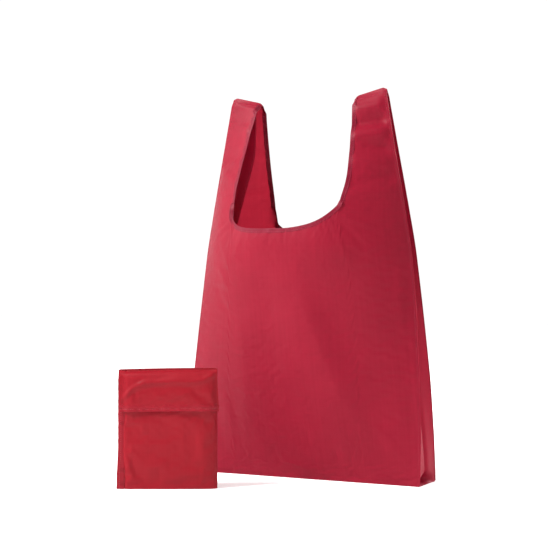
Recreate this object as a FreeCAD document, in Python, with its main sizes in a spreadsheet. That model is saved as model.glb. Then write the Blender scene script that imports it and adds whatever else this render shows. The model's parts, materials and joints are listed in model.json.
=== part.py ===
"""Foldable vest-style tote bag and its envelope pouch, as a parametric FreeCAD document.

Millimetres, +Z up, -Y is the front, and the origin is the middle of the bag's base on the floor.
The bag stands open: its front and back are bowed out, its side gussets are folded inwards, and each
handle is a front strip and a back strip joined at the top. The pouch stands in front, on the left.
"""

import FreeCAD, Part

import math
import os

import Sketcher
from FreeCAD import Rotation, Vector

# Driving dimensions: alias and value, in mm and degrees.
DIMENSIONS = {
    "bag_height": 550.0,
    "cloth": 1.2,  # thickness that stands for a coated polyester cloth
    "fit_gap": 0.3,  # clear space between neighbouring pieces
    "neck_half_width": 87.0,
    "neck_bottom": 354.0,
    "neck_straight": 392.0,  # above this height the edge of the neck is straight
    "neck_overrun": 20.0,  # the cut for the neck goes this far past the tops of the handles
    "handle_inner_top": 74.0,
    "pivot_across": 115.0,  # each handle bends about this point, seen from the front
    "pivot_height": 418.0,
    "pivot_radius": 36.0,
    "binding_width": 6.0,
    "binding_thickness": 0.9,
    "top_seam_height": 9.5,
    "strap_seam_top": 500.0,
    "seam_inset": 2.5,  # from the bag's side edge to the side seam's binding
    "seam_foot": 4.0,  # where that binding starts above the floor
    "pouch_width": 134.0,
    "pouch_height": 158.0,
    "pouch_depth": 18.0,
    "pouch_mouth": 122.0,
    "flap_drop": 55.0,
    "flap_hem": 6.0,
    "flap_hem_thickness": 2.0,
    "pouch_across": -117.0,
    "pouch_forward": -196.0,
    "pouch_turn": 27.0,
    "floor_level": 0.0,
}

# Lengths that follow from the ones above, as formulas of the sheet.
DERIVED = {
    "lining_inset": "=cloth + fit_gap",
    "pouch_left": "=-pouch_width / 2",
    "pouch_front": "=-pouch_depth / 2",
    "pouch_rear": "=pouch_depth / 2",
    "front_wall_face": "=pouch_front + cloth",
    "rear_wall_face": "=pouch_rear - cloth",
    "roof_underside": "=pouch_height - cloth",
    "inside_front": "=pouch_front + lining_inset",
    "inside_rear": "=pouch_rear - lining_inset",
    "inside_left": "=pouch_left + lining_inset",
    "inside_width": "=pouch_width - 2 * lining_inset",
    "mouth_hem_back": "=inside_front + binding_thickness",
    "mouth_hem_low": "=pouch_mouth - binding_width",
    "behind_hem": "=mouth_hem_back + fit_gap",
    "wall_top": "=pouch_height - lining_inset",
    "right_wall_start": "=pouch_width / 2 - cloth",
    "leaf_back": "=pouch_front - fit_gap",
    "leaf_front": "=leaf_back - cloth",
    "fold_radius": "=cloth / 2",
    "fold_centre": "=leaf_back - fold_radius",
    "fold_height": "=pouch_height - fold_radius",
    "flap_low": "=pouch_height - flap_drop",
    "flap_hem_high": "=flap_low + flap_hem",
    "flap_hem_front": "=leaf_back - flap_hem_thickness",
    "leaf_low": "=flap_hem_high + fit_gap",
}

# The bag's outline at a few heights: (height, half width, half gap between the front and back edges,
# how far each panel bows out beyond that, how deep the side gusset folds in).
STATIONS = (
    (0.0, 182.0, 30.7, 0.0, 4.0),
    (60.0, 182.0, 26.5, 22.0, 8.0),
    (140.0, 178.6, 21.0, 44.0, 14.0),
    (250.0, 169.7, 12.0, 64.0, 26.0),
    (350.0, 158.0, 9.0, 80.0, 30.0),
    (450.0, 139.5, 7.5, 52.0, 26.0),
    (550.0, 121.6, 4.0, 4.0, 18.0),
)
STATION_NAMES = ("station_height", "half_width", "half_gap", "bow", "gusset_fold")
BOW_POWER = 2.6  # the bow is flat in the middle and turns in towards the side edges
BOW_POINTS = 11  # points across one section of a panel
FAR = 300.0  # cutting shapes reach this far from the middle, past the bag's sides

doc = FreeCAD.newDocument("FoldableTote")
sheet = doc.addObject("Spreadsheet::Sheet", "Sizes")
made = []  # the sub-parts that are written out


def fill_sheet():
    """Puts every driving dimension in the sheet, one per row, with its alias."""
    cells = dict(DIMENSIONS)
    for number, station in enumerate(STATIONS):
        for name, value in zip(STATION_NAMES, station):
            cells[f"{name}_{number}"] = value
    cells.update(DERIVED)
    for row, (alias, value) in enumerate(cells.items(), start=1):
        sheet.set(f"A{row}", alias)
        sheet.set(f"B{row}", str(value))
        sheet.setAlias(f"B{row}", alias)
    doc.recompute()


def size(alias):
    return float(sheet.get(alias))


def stations():
    """Each station's numbers as the sheet holds them."""
    return [[size(f"{name}_{number}") for name in STATION_NAMES] for number in range(len(STATIONS))]


def keep(shape, label):
    """Adds a finished shape to the document as a sub-part of that name."""
    feature = doc.addObject("Part::Feature", label)
    feature.Label = label
    feature.Shape = shape
    made.append(feature)
    return feature


# ---------------------------------------------------------------- the bag's cloth, as lofted layers


def bowed_section(station, side, inset, thickness):
    """One closed section of a panel: side is -1 for the front and 1 for the back."""
    height, half_width, half_gap, bow, _ = station
    outer = []
    for step in range(BOW_POINTS):
        across = -1 + 2 * step / (BOW_POINTS - 1)
        out = half_gap + bow * (1 - abs(across) ** BOW_POWER) - inset
        outer.append(Vector(across * half_width, side * out, height))
    inward = Vector(0, -side * thickness, 0)
    inner = [point + inward for point in outer]
    outer_curve = Part.BSplineCurve()
    outer_curve.interpolate(outer)
    inner_curve = Part.BSplineCurve()
    inner_curve.interpolate(inner)
    edges = [
        outer_curve.toShape(),
        Part.makeLine(outer[-1], inner[-1]),
        inner_curve.toShape(),
        Part.makeLine(inner[0], outer[0]),
    ]
    return Part.Wire(Part.__sortEdges__(edges))


def bowed_layer(side, inset, thickness):
    """A full-height layer of the front or the back, inset from its outer face."""
    sections = [bowed_section(station, side, inset, thickness) for station in stations()]
    return Part.makeLoft(sections, True, False)


def gusset_layer(side):
    """A full-height side gusset, folded inwards: side is -1 for the left and 1 for the right."""
    cloth = size("cloth")
    gap = size("fit_gap")
    sections = []
    for height, half_width, half_gap, _, fold in stations():
        reach = half_gap - cloth - gap
        edge = half_width - gap
        thick = cloth * math.hypot(fold, reach) / reach
        corners = [
            Vector(side * edge, -reach, height),
            Vector(side * (half_width - fold), 0, height),
            Vector(side * edge, reach, height),
            Vector(side * (edge - thick), reach, height),
            Vector(side * (half_width - fold - thick), 0, height),
            Vector(side * (edge - thick), -reach, height),
        ]
        sections.append(Part.makePolygon(corners + corners[:1]))
    return Part.makeLoft(sections, True, False)


def neck_prism(grow):
    """The open space between the handles, front to back, grown by that much on every side."""
    half = size("neck_half_width") + grow
    straight = size("neck_straight")
    depth = straight - size("neck_bottom") + grow
    above = size("bag_height") + size("neck_overrun")
    slope = (size("neck_half_width") - size("handle_inner_top")) / (size("bag_height") - straight)
    top_half = half - slope * (above - straight)
    ellipse = Part.Ellipse(Vector(half, 0, 0), Vector(0, -depth, 0), Vector(0, 0, 0))
    low_arc = Part.Arc(ellipse, 0, math.pi).toShape()
    left = Vector(-half, 0, 0)
    right = Vector(half, 0, 0)
    left_top = Vector(-top_half, above - straight, 0)
    right_top = Vector(top_half, above - straight, 0)
    sides = [Part.makeLine(right, right_top), Part.makeLine(right_top, left_top), Part.makeLine(left_top, left)]
    face = Part.Face(Part.Wire(Part.__sortEdges__([low_arc] + sides)))
    face.rotate(Vector(0, 0, 0), Vector(1, 0, 0), 90)
    face.translate(Vector(0, FAR, straight))
    return face.extrude(Vector(0, -2 * FAR, 0))


def block(x_low, x_high, y_low, y_high, z_low, z_high):
    """A plain box between two corners."""
    corner = Vector(x_low, y_low, z_low)
    return Part.makeBox(x_high - x_low, y_high - y_low, z_high - z_low, corner)


def pivot_disc(side, radius):
    """The round end about which a handle bends, front to back."""
    centre = Vector(side * size("pivot_across"), FAR, size("pivot_height"))
    return Part.makeCylinder(radius, 2 * FAR, centre, Vector(0, -1, 0))


def body_region(low):
    """Everything below the handles, from that height up."""
    region = block(-FAR, FAR, -FAR, FAR, low, size("pivot_height"))
    for side in (-1, 1):
        region = region.cut(pivot_disc(side, size("pivot_radius") + size("fit_gap")))
    return region


def handle_region(side, top):
    """One handle's share of the cloth, up to that height."""
    x_low, x_high = sorted((0, side * FAR))
    above = block(x_low, x_high, -FAR, FAR, size("pivot_height"), top)
    return above.fuse(pivot_disc(side, size("pivot_radius")))


def band_inside_edge(side, low, high):
    """The strip of floor plan that lies from high to low millimetres inside the bag's side edge."""
    sections = []
    for height, half_width, _, _, _ in stations():
        x_low, x_high = sorted((side * (half_width - low), side * (half_width - high)))
        plan = ((x_low, -FAR), (x_high, -FAR), (x_high, FAR), (x_low, FAR))
        corners = [Vector(x, y, height) for x, y in plan]
        sections.append(Part.makePolygon(corners + corners[:1]))
    return Part.makeLoft(sections, True, False)


def make_bag_cloth():
    """Panels, gussets, neck bindings and side seam bindings, each cut into body and handles."""
    cloth = size("cloth")
    height = size("bag_height")
    neck = neck_prism(0)
    neck_band = neck_prism(size("binding_width")).cut(neck)
    hidden = cloth + size("fit_gap")
    sides = {"left": -1, "right": 1}
    for name, facing in (("front", -1), ("back", 1)):
        panel = bowed_layer(facing, 0, cloth).cut(neck)
        lining = bowed_layer(facing, hidden, size("binding_thickness"))
        binding = lining.common(neck_band)
        keep(panel.common(body_region(0)), f"{name}_panel")
        keep(binding.common(body_region(0)), f"{name}_neck_binding")
        for side_name, side in sides.items():
            handle = handle_region(side, height)
            keep(panel.common(handle), f"{side_name}_handle_{name}_strip")
            keep(binding.common(handle), f"{side_name}_handle_{name}_binding")
            inset = size("seam_inset")
            edge_band = band_inside_edge(side, inset + size("binding_width"), inset)
            seam = lining.common(edge_band)
            keep(seam.common(body_region(size("seam_foot"))), f"{side_name}_{name}_seam_binding")
            strap = handle_region(side, size("strap_seam_top"))
            keep(seam.common(strap), f"{side_name}_handle_{name}_seam_binding")
    for side_name, side in sides.items():
        gusset = gusset_layer(side)
        keep(gusset.common(body_region(cloth + size("fit_gap"))), f"{side_name}_gusset")
        below_top_seam = handle_region(side, height - size("top_seam_height") - size("fit_gap"))
        keep(gusset.common(below_top_seam), f"{side_name}_handle_gusset")


# ---------------------------------------------------------------- flat pieces of the bag


def bound_box(label, lengths, place):
    """A Part::Box whose length, width and height are expressions of the sheet."""
    box = doc.addObject("Part::Box", label)
    box.Label = label
    for name, expression in zip(("Length", "Width", "Height"), lengths):
        box.setExpression(name, expression)
    for name, expression in zip("xyz", place):
        box.setExpression(f"Placement.Base.{name}", expression)
    made.append(box)
    return box


def make_base():
    """The base panel and the bindings over its two long seams."""
    half_long = "(Sizes.half_width_0 - Sizes.fit_gap)"
    half_wide = "(Sizes.half_gap_0 - Sizes.cloth - Sizes.fit_gap)"
    bound_box(
        "base_panel",
        (f"2 * {half_long}", f"2 * {half_wide}", "Sizes.cloth"),
        (f"-{half_long}", f"-{half_wide}", "0"),
    )
    seam_half = "(Sizes.half_width_0 - 3 * Sizes.binding_width)"
    lengths = (f"2 * {seam_half}", "Sizes.binding_width", "Sizes.binding_thickness")
    height = "Sizes.cloth + Sizes.fit_gap"
    front = f"-{half_wide} + Sizes.fit_gap"
    back = f"{half_wide} - Sizes.fit_gap - Sizes.binding_width"
    bound_box("front_base_seam_binding", lengths, (f"-{seam_half}", front, height))
    bound_box("back_base_seam_binding", lengths, (f"-{seam_half}", back, height))


def make_top_seams():
    """The folded seam allowance that joins each handle's two strips at the top."""
    last = len(STATIONS) - 1
    long = f"Sizes.half_width_{last} - Sizes.handle_inner_top - 3 * Sizes.cloth"
    half_wide = f"(Sizes.half_gap_{last} - Sizes.cloth - Sizes.fit_gap)"
    low = "Sizes.bag_height - Sizes.top_seam_height"
    start = "Sizes.handle_inner_top + 2 * Sizes.cloth"
    lengths = (long, f"2 * {half_wide}", "Sizes.top_seam_height")
    bound_box("right_handle_top_seam", lengths, (start, f"-{half_wide}", low))
    bound_box("left_handle_top_seam", lengths, (f"-({start}) - ({long})", f"-{half_wide}", low))


# ---------------------------------------------------------------- the pouch, as PartDesign bodies


def pouch_placement():
    """Where the pouch stands: the middle of its bottom, and its turn to face half left of the bag."""
    turn = Rotation(Vector(0, 0, 1), size("pouch_turn"))
    return FreeCAD.Placement(Vector(size("pouch_across"), size("pouch_forward"), 0), turn)


def pouch_body(label, corners, start, length):
    """A body padded along the pouch's width from a profile whose (y, z) corners are aliases."""
    body = doc.addObject("PartDesign::Body", label)
    body.Label = label
    sketch = body.newObject("Sketcher::SketchObject", f"{label}_profile")
    planes = [plane for plane in body.Origin.OriginFeatures if plane.Role == "YZ_Plane"]
    sketch.AttachmentSupport = (planes[0], [""])
    sketch.MapMode = "FlatFace"
    points = [Vector(size(across), size(up), 0) for across, up in corners]
    count = len(points)
    for number in range(count):
        side = Part.LineSegment(points[number], points[(number + 1) % count])
        sketch.addGeometry(side, False)
    for number in range(count):
        following = (number + 1) % count
        sketch.addConstraint(Sketcher.Constraint("Coincident", number, 2, following, 1))
    for number, aliases in enumerate(corners):
        for kind, alias in zip(("DistanceX", "DistanceY"), aliases):
            if size(alias) == 0:
                on_axis = Sketcher.Constraint("PointOnObject", number, 1, -1)
                sketch.addConstraint(on_axis)
                continue
            distance = Sketcher.Constraint(kind, -1, 1, number, 1, size(alias))
            index = sketch.addConstraint(distance)
            sketch.setExpression(f"Constraints[{index}]", f"Sizes.{alias}")
    sketch.setExpression(".AttachmentOffset.Base.z", f"Sizes.{start}")
    pad = body.newObject("PartDesign::Pad", f"{label}_pad")
    pad.Profile = sketch
    pad.setExpression("Length", f"Sizes.{length}")
    body.Placement = pouch_placement()
    made.append(body)
    return body


def rectangle(y_low, y_high, z_low, z_high):
    return [(y_low, z_low), (y_high, z_low), (y_high, z_high), (y_low, z_high)]


def make_pouch():
    """The pouch's walls, its mouth hem, and the flap that hangs from the front of its top."""
    full = ("pouch_left", "pouch_width")
    back_and_roof = [
        ("pouch_rear", "floor_level"),
        ("pouch_rear", "pouch_height"),
        ("pouch_front", "pouch_height"),
        ("pouch_front", "roof_underside"),
        ("rear_wall_face", "roof_underside"),
        ("rear_wall_face", "floor_level"),
    ]
    pouch_body("pouch_back_panel", back_and_roof, *full)
    front = rectangle("pouch_front", "front_wall_face", "floor_level", "pouch_mouth")
    pouch_body("pouch_front_panel", front, *full)
    hem = rectangle("inside_front", "mouth_hem_back", "mouth_hem_low", "pouch_mouth")
    pouch_body("pouch_mouth_hem", hem, "inside_left", "inside_width")
    bottom = rectangle("inside_front", "inside_rear", "floor_level", "cloth")
    pouch_body("pouch_bottom", bottom, *full)
    wall = rectangle("behind_hem", "inside_rear", "lining_inset", "wall_top")
    pouch_body("pouch_left_side", wall, "pouch_left", "cloth")
    pouch_body("pouch_right_side", wall, "right_wall_start", "cloth")
    flap_hem = rectangle("flap_hem_front", "leaf_back", "flap_low", "flap_hem_high")
    pouch_body("pouch_flap_hem", flap_hem, *full)
    make_flap()


def make_flap():
    """The flap's leaf, joined to the round fold that it turns about."""
    leaf = doc.addObject("Part::Box", "flap_leaf")
    leaf.setExpression("Length", "Sizes.pouch_width")
    leaf.setExpression("Width", "Sizes.cloth")
    leaf.setExpression("Height", "Sizes.fold_height - Sizes.leaf_low")
    leaf.setExpression("Placement.Base.x", "Sizes.pouch_left")
    leaf.setExpression("Placement.Base.y", "Sizes.leaf_front")
    leaf.setExpression("Placement.Base.z", "Sizes.leaf_low")
    fold = doc.addObject("Part::Cylinder", "flap_fold")
    fold.setExpression("Radius", "Sizes.fold_radius")
    fold.setExpression("Height", "Sizes.pouch_width")
    fold.Placement = FreeCAD.Placement(Vector(), Rotation(Vector(0, 1, 0), 90))
    fold.setExpression("Placement.Base.x", "Sizes.pouch_left")
    fold.setExpression("Placement.Base.y", "Sizes.fold_centre")
    fold.setExpression("Placement.Base.z", "Sizes.fold_height")
    flap = doc.addObject("Part::Fuse", "pouch_flap")
    flap.Label = "pouch_flap"
    flap.Base = leaf
    flap.Tool = fold
    flap.Placement = pouch_placement()
    made.append(flap)


# ---------------------------------------------------------------- checking and writing


def check_and_write():
    """Stops on any failed object or open shape, then writes one STEP file for each sub-part."""
    doc.recompute()
    for item in doc.Objects:
        if "Invalid" in item.State or "Error" in item.State:
            raise RuntimeError(f"{item.Label} failed: {item.State}")
    os.makedirs("parts", exist_ok=True)
    for item in made:
        shape = item.Shape
        if shape.isNull() or not shape.isValid() or shape.Volume <= 0 or not shape.Solids:
            raise RuntimeError(f"{item.Label} has no valid solid")
        box = shape.BoundBox
        print(
            f"{item.Label:36s} solids {len(shape.Solids)}  {shape.Volume / 1000:8.2f} cm3"
            f"  {box.XLength:6.1f} x {box.YLength:6.1f} x {box.ZLength:6.1f}"
        )
        shape.exportStep(f"parts/{item.Label}.step")


fill_sheet()
make_bag_cloth()
make_base()
make_top_seams()
make_pouch()
check_and_write()
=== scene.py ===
"""The looks of a foldable cloth tote bag and its envelope pouch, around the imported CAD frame.

Metres, +Z up, and -Y is out of the bag's front. Every cloth is a grid of points, in rows from the floor
up and columns across. The bag's grids are sewn into one cloth for the simulation and cut apart again
afterwards, so neighbouring pieces share their edges.
"""

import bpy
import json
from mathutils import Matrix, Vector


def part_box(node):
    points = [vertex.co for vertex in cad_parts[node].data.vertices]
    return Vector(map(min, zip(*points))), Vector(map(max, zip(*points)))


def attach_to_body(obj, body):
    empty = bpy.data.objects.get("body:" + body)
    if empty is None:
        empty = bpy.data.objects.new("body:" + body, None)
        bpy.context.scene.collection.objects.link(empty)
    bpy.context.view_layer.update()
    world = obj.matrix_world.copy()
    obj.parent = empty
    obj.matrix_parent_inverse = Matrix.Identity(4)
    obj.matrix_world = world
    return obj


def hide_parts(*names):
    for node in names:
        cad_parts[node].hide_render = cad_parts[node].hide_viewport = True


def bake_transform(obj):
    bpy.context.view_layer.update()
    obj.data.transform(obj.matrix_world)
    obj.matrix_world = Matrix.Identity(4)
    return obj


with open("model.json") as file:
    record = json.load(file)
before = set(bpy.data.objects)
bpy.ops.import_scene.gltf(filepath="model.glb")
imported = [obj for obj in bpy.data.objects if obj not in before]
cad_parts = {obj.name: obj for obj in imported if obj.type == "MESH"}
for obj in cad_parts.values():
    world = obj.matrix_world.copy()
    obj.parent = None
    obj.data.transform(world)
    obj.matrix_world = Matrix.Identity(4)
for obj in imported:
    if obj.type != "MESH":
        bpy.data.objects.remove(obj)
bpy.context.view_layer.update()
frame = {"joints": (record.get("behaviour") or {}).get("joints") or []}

import json
import math

import bpy
import numpy as np
from mathutils import Matrix, Vector, kdtree, noise

MM = 0.001
JOINTS = {joint["name"]: joint for joint in frame["joints"]}
SIDES = ("left", "right")
FACINGS = ("front", "back")

# ---- the bag's outline

BAG_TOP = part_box("left_handle_top_seam")[1].z

# The outline at a few heights, in mm: height, half width, half gap between the front and back edges,
# how far each panel bows out beyond that, how deep the side gusset folds in.
STATIONS = np.array([
    (0.0, 182.0, 30.7, 0.0, 0.5),
    (60.0, 181.9, 26.2, 21.8, 4.5),
    (140.0, 178.6, 21.0, 43.8, 9.5),
    (250.0, 169.7, 12.0, 64.0, 23.0),
    (330.0, 160.9, 9.3, 84.0, 33.0),
    (400.0, 148.5, 8.2, 75.7, 43.0),
    (470.0, 135.5, 6.8, 43.2, 48.0),
    (550.0, 121.6, 3.6, 4.4, 36.0),
    (570.0, 118.1, 3.6, 4.4, 34.0),
]) * MM
PROFILE_STEP = 2 * MM
PROFILE_BLUR = 14 * MM  # evens out the bends at the stations
BOW_POWER = 2.6
CLOSED_GAP = 0.6 * MM  # half gap at the very top of a strap, where its front meets its back
CREASE_POWER = 1.15  # how straight a gusset's two halves are on the way to its crease

NECK_HALF = 87.0 * MM  # the neck is about half an ellipse, and straight above it
NECK_CORNER = 392.5 * MM
NECK_DIP = 38.6 * MM
NECK_POWER_LEFT = 4.2  # the left corner is pulled squarer than an ellipse, and the right one rounder
NECK_POWER_RIGHT = 1.85
NECK_ROUNDING = 7.0 * MM  # how far the right corner comes in beyond that
STRAP_INNER_TOP = 73.7 * MM
STRAP_INNER_BULGE = 9.0 * MM
STRAP_INNER_DROP = 7.0 * MM  # the tops of the straps slope down towards the middle
STRAP_OUTER_RISE = 4.5 * MM

NECK_COLUMNS = 24  # on each side of the middle
STRAP_COLUMNS = 14
GUSSET_COLUMNS = 12
LOW_ROWS = 10  # close together, for the tucks at the bag's bottom corners
LOW_SHARE = 0.07
UPPER_ROWS = 70
STRAP_ROWS = 32
REFINE = 2  # each grid cell is split this many times after the simulation

CLOTH = 0.5 * MM  # thickness of every cloth


def ease(t):
    """0 to 1 with a soft start and end."""
    t = np.clip(t, 0, 1)
    return t * t * (3 - 2 * t)


def blurred(values, reach):
    """A row of numbers with its small bends evened out, and its two ends kept."""
    half = int(3 * reach)
    weights = np.exp(-0.5 * (np.arange(-half, half + 1) / reach) ** 2)
    before = 2 * values[0] - values[half:0:-1]
    after = 2 * values[-1] - values[-2:-half - 2:-1]
    longer = np.concatenate([before, values, after])
    return np.convolve(longer, weights / weights.sum(), "valid")


def profile(column):
    """One column of the stations as a smooth function of height."""
    heights, values = STATIONS[:, 0], STATIONS[:, column]
    fine = np.arange(0, heights[-1] + PROFILE_STEP / 2, PROFILE_STEP)
    table = blurred(np.interp(fine, heights, values), PROFILE_BLUR / PROFILE_STEP)
    return lambda z: np.interp(z, fine, table)


half_width, half_gap, bow, gusset_fold = (profile(column) for column in (1, 2, 3, 4))


def strap_inner(z):
    """How far from the middle a strap's inner edge is."""
    t = (z - NECK_CORNER) / (BAG_TOP - NECK_CORNER)
    return NECK_HALF * (1 - t) + STRAP_INNER_TOP * t + STRAP_INNER_BULGE * t * (1 - t)


def panel_out(x, z, closed=0.0):
    """How far the front or back cloth stands out from the bag's middle plane."""
    across = np.abs(x) / half_width(z)
    gap = half_gap(z) * (1 - closed) + CLOSED_GAP * closed
    return gap + bow(z) * (1 - np.clip(across, 0, 1) ** BOW_POWER) * (1 - 0.6 * closed)


# ---- soft folds in the cloth

# Each fold is a line on a panel, in mm: x and height of its start and end, its half width on its left
# and on its right, how far it stands out (or in), seen from the front.
FRONT_FOLDS = [
    (-4, 322, 122, 8, 50, 25, 10.0),  # the long fold down to the right corner
    (86, 262, 168, 50, 34, 40, -4.0),
    (-72, 262, -70, 34, 20, 24, 1.2),  # upright folds below the left strap
    (-36, 345, -18, 120, 26, 24, -1.2),
    (-4, 200, -10, 30, 24, 24, 1.2),
    (-112, 345, -88, 292, 6, 7, 1.0),  # short slanting creases at the left edge
    (-118, 310, -96, 262, 7, 6, 0.9),
    (-128, 285, -104, 232, 7, 8, -0.9),
    (-120, 142, -96, 52, 9, 10, 1.0),
    (-138, 120, -112, 22, 10, 9, -0.8),
    (-100, 120, -84, 18, 10, 10, -0.6),
    (80, 374, 126, 352, 4, 4, 0.9),  # tension lines from the neck's right corner
    (79, 368, 118, 320, 5, 5, -0.9),
    (74, 366, 100, 292, 6, 5, 0.8),
    (-80, 372, -122, 348, 4, 4, 0.9),
    (-76, 366, -112, 316, 5, 5, -0.8),
    (-60, 362, -84, 300, 6, 6, 0.7),
    (150, 330, 158, 190, 8, 6, 1.1),
    (120, 90, 176, 8, 8, 9, 1.2),
    (-176, 60, -150, 6, 9, 9, 1.4),
    (-30, 26, 40, 12, 8, 7, 0.9),
]
FRONT_STRAP_FOLDS = [
    (50, 520, 160, 536, 7, 9, 3.2),  # creases across the right strap
    (50, 496, 160, 513, 9, 8, -4.6),
    (40, 478, 170, 497, 8, 8, 3.4),
    (84, 469, 186, 463, 9, 9, -4.4),
    (60, 452, 170, 440, 9, 9, 2.6),
    (76, 414, 176, 432, 9, 9, -2.4),
    (70, 402, 170, 405, 8, 8, 1.4),
    (-62, 490, -150, 528, 9, 9, 2.4),
    (-60, 476, -160, 440, 9, 9, -2.6),
    (-64, 410, -170, 462, 9, 9, 2.6),
    (-70, 396, -154, 411, 8, 8, -1.6),
]
BACK_FOLDS = [
    (-60, 300, -150, 30, 40, 18, 3.2),
    (-96, 240, -166, 60, 20, 20, -2.2),
    (64, 280, 96, 30, 20, 26, 2.6),
    (20, 340, -14, 90, 24, 22, -1.8),
    (112, 330, 92, 240, 8, 8, 1.0),
    (132, 140, 108, 30, 9, 9, 1.4),
    (82, 372, 124, 344, 4, 4, 0.9),
    (-80, 372, -122, 340, 4, 4, 0.9),
    (-74, 366, -104, 296, 6, 6, -0.8),
    (76, 366, 100, 300, 6, 6, -0.8),
    (-40, 40, 50, 18, 10, 8, 1.0),
]
BACK_STRAP_FOLDS = [
    (84, 516, 128, 506, 6, 6, -1.4),
    (84, 462, 138, 452, 6, 6, 1.2),
    (88, 420, 146, 428, 7, 7, -1.2),
    (-84, 510, -128, 500, 6, 6, -1.2),
    (-84, 470, -136, 474, 7, 6, 1.1),
    (-88, 424, -144, 414, 7, 7, -1.2),
]


FOLDS = {"front": FRONT_FOLDS + FRONT_STRAP_FOLDS, "back": BACK_FOLDS + BACK_STRAP_FOLDS}
FOLD_END = 0.35  # the share of a fold's length over which it fades out at each end
BEFORE = 0.5  # the share of each fold that is there before the simulation; the rest is added after it


def fold_height(x, z, folds):
    """How far the folds stand out at each point of a panel."""
    out = np.zeros_like(x)
    for x1, z1, x2, z2, left, right, height in np.array(folds) * MM:
        length = math.hypot(x2 - x1, z2 - z1)
        along = ((x - x1) * (x2 - x1) + (z - z1) * (z2 - z1)) / length
        off = ((x - x1) * (z2 - z1) - (z - z1) * (x2 - x1)) / length
        rightward = off * np.sign(z2 - z1 + 1e-9)
        width = np.where(rightward > 0, right, left)
        fade = ease(along / (FOLD_END * length)) * ease((length - along) / (FOLD_END * length))
        out += height * np.exp(-((off / width) ** 2)) * fade
    return out


def ripple(x, z, scale, seed):
    """Slow unevenness, so that no stretch of cloth is quite smooth."""
    points = zip(x.ravel(), z.ravel())
    values = [noise.noise(Vector((px / scale, pz / scale, seed))) for px, pz in points]
    return np.array(values).reshape(x.shape)


# Over these distances the folds fade out towards an edge of the cloth.
FADE_INNER = 8 * MM
FADE_OUTER = 13 * MM
FADE_BASE = 10 * MM


def from_edges(x, z):
    """0 at a panel's sewn edges, small at a strap's inner edge, and 1 away from them."""
    above = ease((z - NECK_CORNER + 30 * MM) / (40 * MM))
    inner = 0.3 + 0.7 * ease((np.abs(x) - strap_inner(z)) / FADE_INNER)
    outer = ease((half_width(z) - np.abs(x)) / FADE_OUTER)
    return outer * ease(z / FADE_BASE) * (1 - above * (1 - inner))


RIPPLES = ((1.2 * MM, 0.6, 60 * MM), (0.35 * MM, 0.7, 21 * MM))  # height, upright stretch, size
RIPPLE_SEED = {"front": 0.3, "back": 7.1}


def stand_out(x, z, facing):
    """Folds and ripples, fading out towards the panel's sewn edges."""
    seed = RIPPLE_SEED[facing]
    slow = sum(height * ripple(x, z * stretch, size, seed) for height, stretch, size in RIPPLES)
    return (BEFORE * fold_height(x, z, FOLDS[facing]) + slow) * from_edges(x, z)


# ---- the bag's grids


def rounded_corner(x, z):
    """Brings the cloth in at the neck's right corner, which is rounder than the left one."""
    near = np.exp(-(((z - NECK_CORNER + 14 * MM) / (30 * MM)) ** 2))
    share = ease((x - 35 * MM) / (45 * MM)) * (1 - ease((x - 92 * MM) / (50 * MM)))
    return x - NECK_ROUNDING * near * share


def column_marks():
    """-2 to 2 across the body: within 1 of the middle lies below the neck, beyond it below a strap."""
    even = np.arange(NECK_COLUMNS + 1) / NECK_COLUMNS
    neck = 0.5 * even + 0.5 * np.sin(even * math.pi / 2)
    strap = 1 + np.arange(1, STRAP_COLUMNS + 1) / STRAP_COLUMNS
    right = np.concatenate([neck, strap])
    return np.concatenate([-right[:0:-1], right])


def body_panel():
    """Rest points (x, height) of the front below the straps, as rows of columns."""
    mark = column_marks()[None, :]
    size = np.minimum(np.abs(mark), 1)
    beyond = np.maximum(np.abs(mark) - 1, 0)
    low = np.linspace(0, LOW_SHARE, LOW_ROWS + 1)
    share = np.concatenate([low, np.linspace(LOW_SHARE, 1, UPPER_ROWS + 1)[1:]])[:, None]
    power = np.where(mark < 0, NECK_POWER_LEFT, NECK_POWER_RIGHT)
    z = share * (NECK_CORNER - NECK_DIP * (1 - size**power) ** (1 / power))
    split = NECK_HALF / half_width(NECK_CORNER) * half_width(z)
    split = split + (NECK_HALF - split) * ease((share - 0.7) / 0.3)
    x = np.sign(mark) * (size * split + beyond * (half_width(z) - split))
    return x, z


def strap_panel():
    """Rest points (x, height) of the right strap's front, from its inner edge to its outer edge."""
    share = (np.arange(STRAP_COLUMNS + 1) / STRAP_COLUMNS)[None, :]
    top = BAG_TOP - STRAP_INNER_DROP + (STRAP_INNER_DROP + STRAP_OUTER_RISE) * share
    inner_round = 4 * MM * np.clip(1 - share / 0.14, 0, 1) ** 2
    outer_round = 3 * MM * np.clip((share - 0.88) / 0.12, 0, 1) ** 2
    z = NECK_CORNER + strap_rows() * (top - inner_round - outer_round - NECK_CORNER)
    inner = strap_inner(z)
    return inner + share * (half_width(z) - inner), z


def strap_rows():
    """How far up the strap each row is, from 0 to 1."""
    return (np.arange(STRAP_ROWS + 1) / STRAP_ROWS)[:, None]


CLOSING = 0.07  # the last share of a strap's height, over which its front comes to meet its back


def strap_closed():
    """0 along the strap, and 1 at its top."""
    return ease((strap_rows() - (1 - CLOSING)) / CLOSING)


def panel_grid(x, z, facing, closed=0.0):
    """A panel's points with its folds. The back's columns are reversed, so that it faces outwards."""
    out = panel_out(x, z, closed) + stand_out(x, z, facing) * (1 - closed)
    if facing == "front":
        return np.stack([x, -out, z], axis=-1)
    return np.stack([x, out, z], axis=-1)[:, ::-1]


TUCK_DEPTH = 26 * MM
TUCK_HEIGHT = 11.5 * MM
CREASE_DEPTH = 6 * MM  # the pressed crease down the gusset's middle, low on the bag


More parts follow.
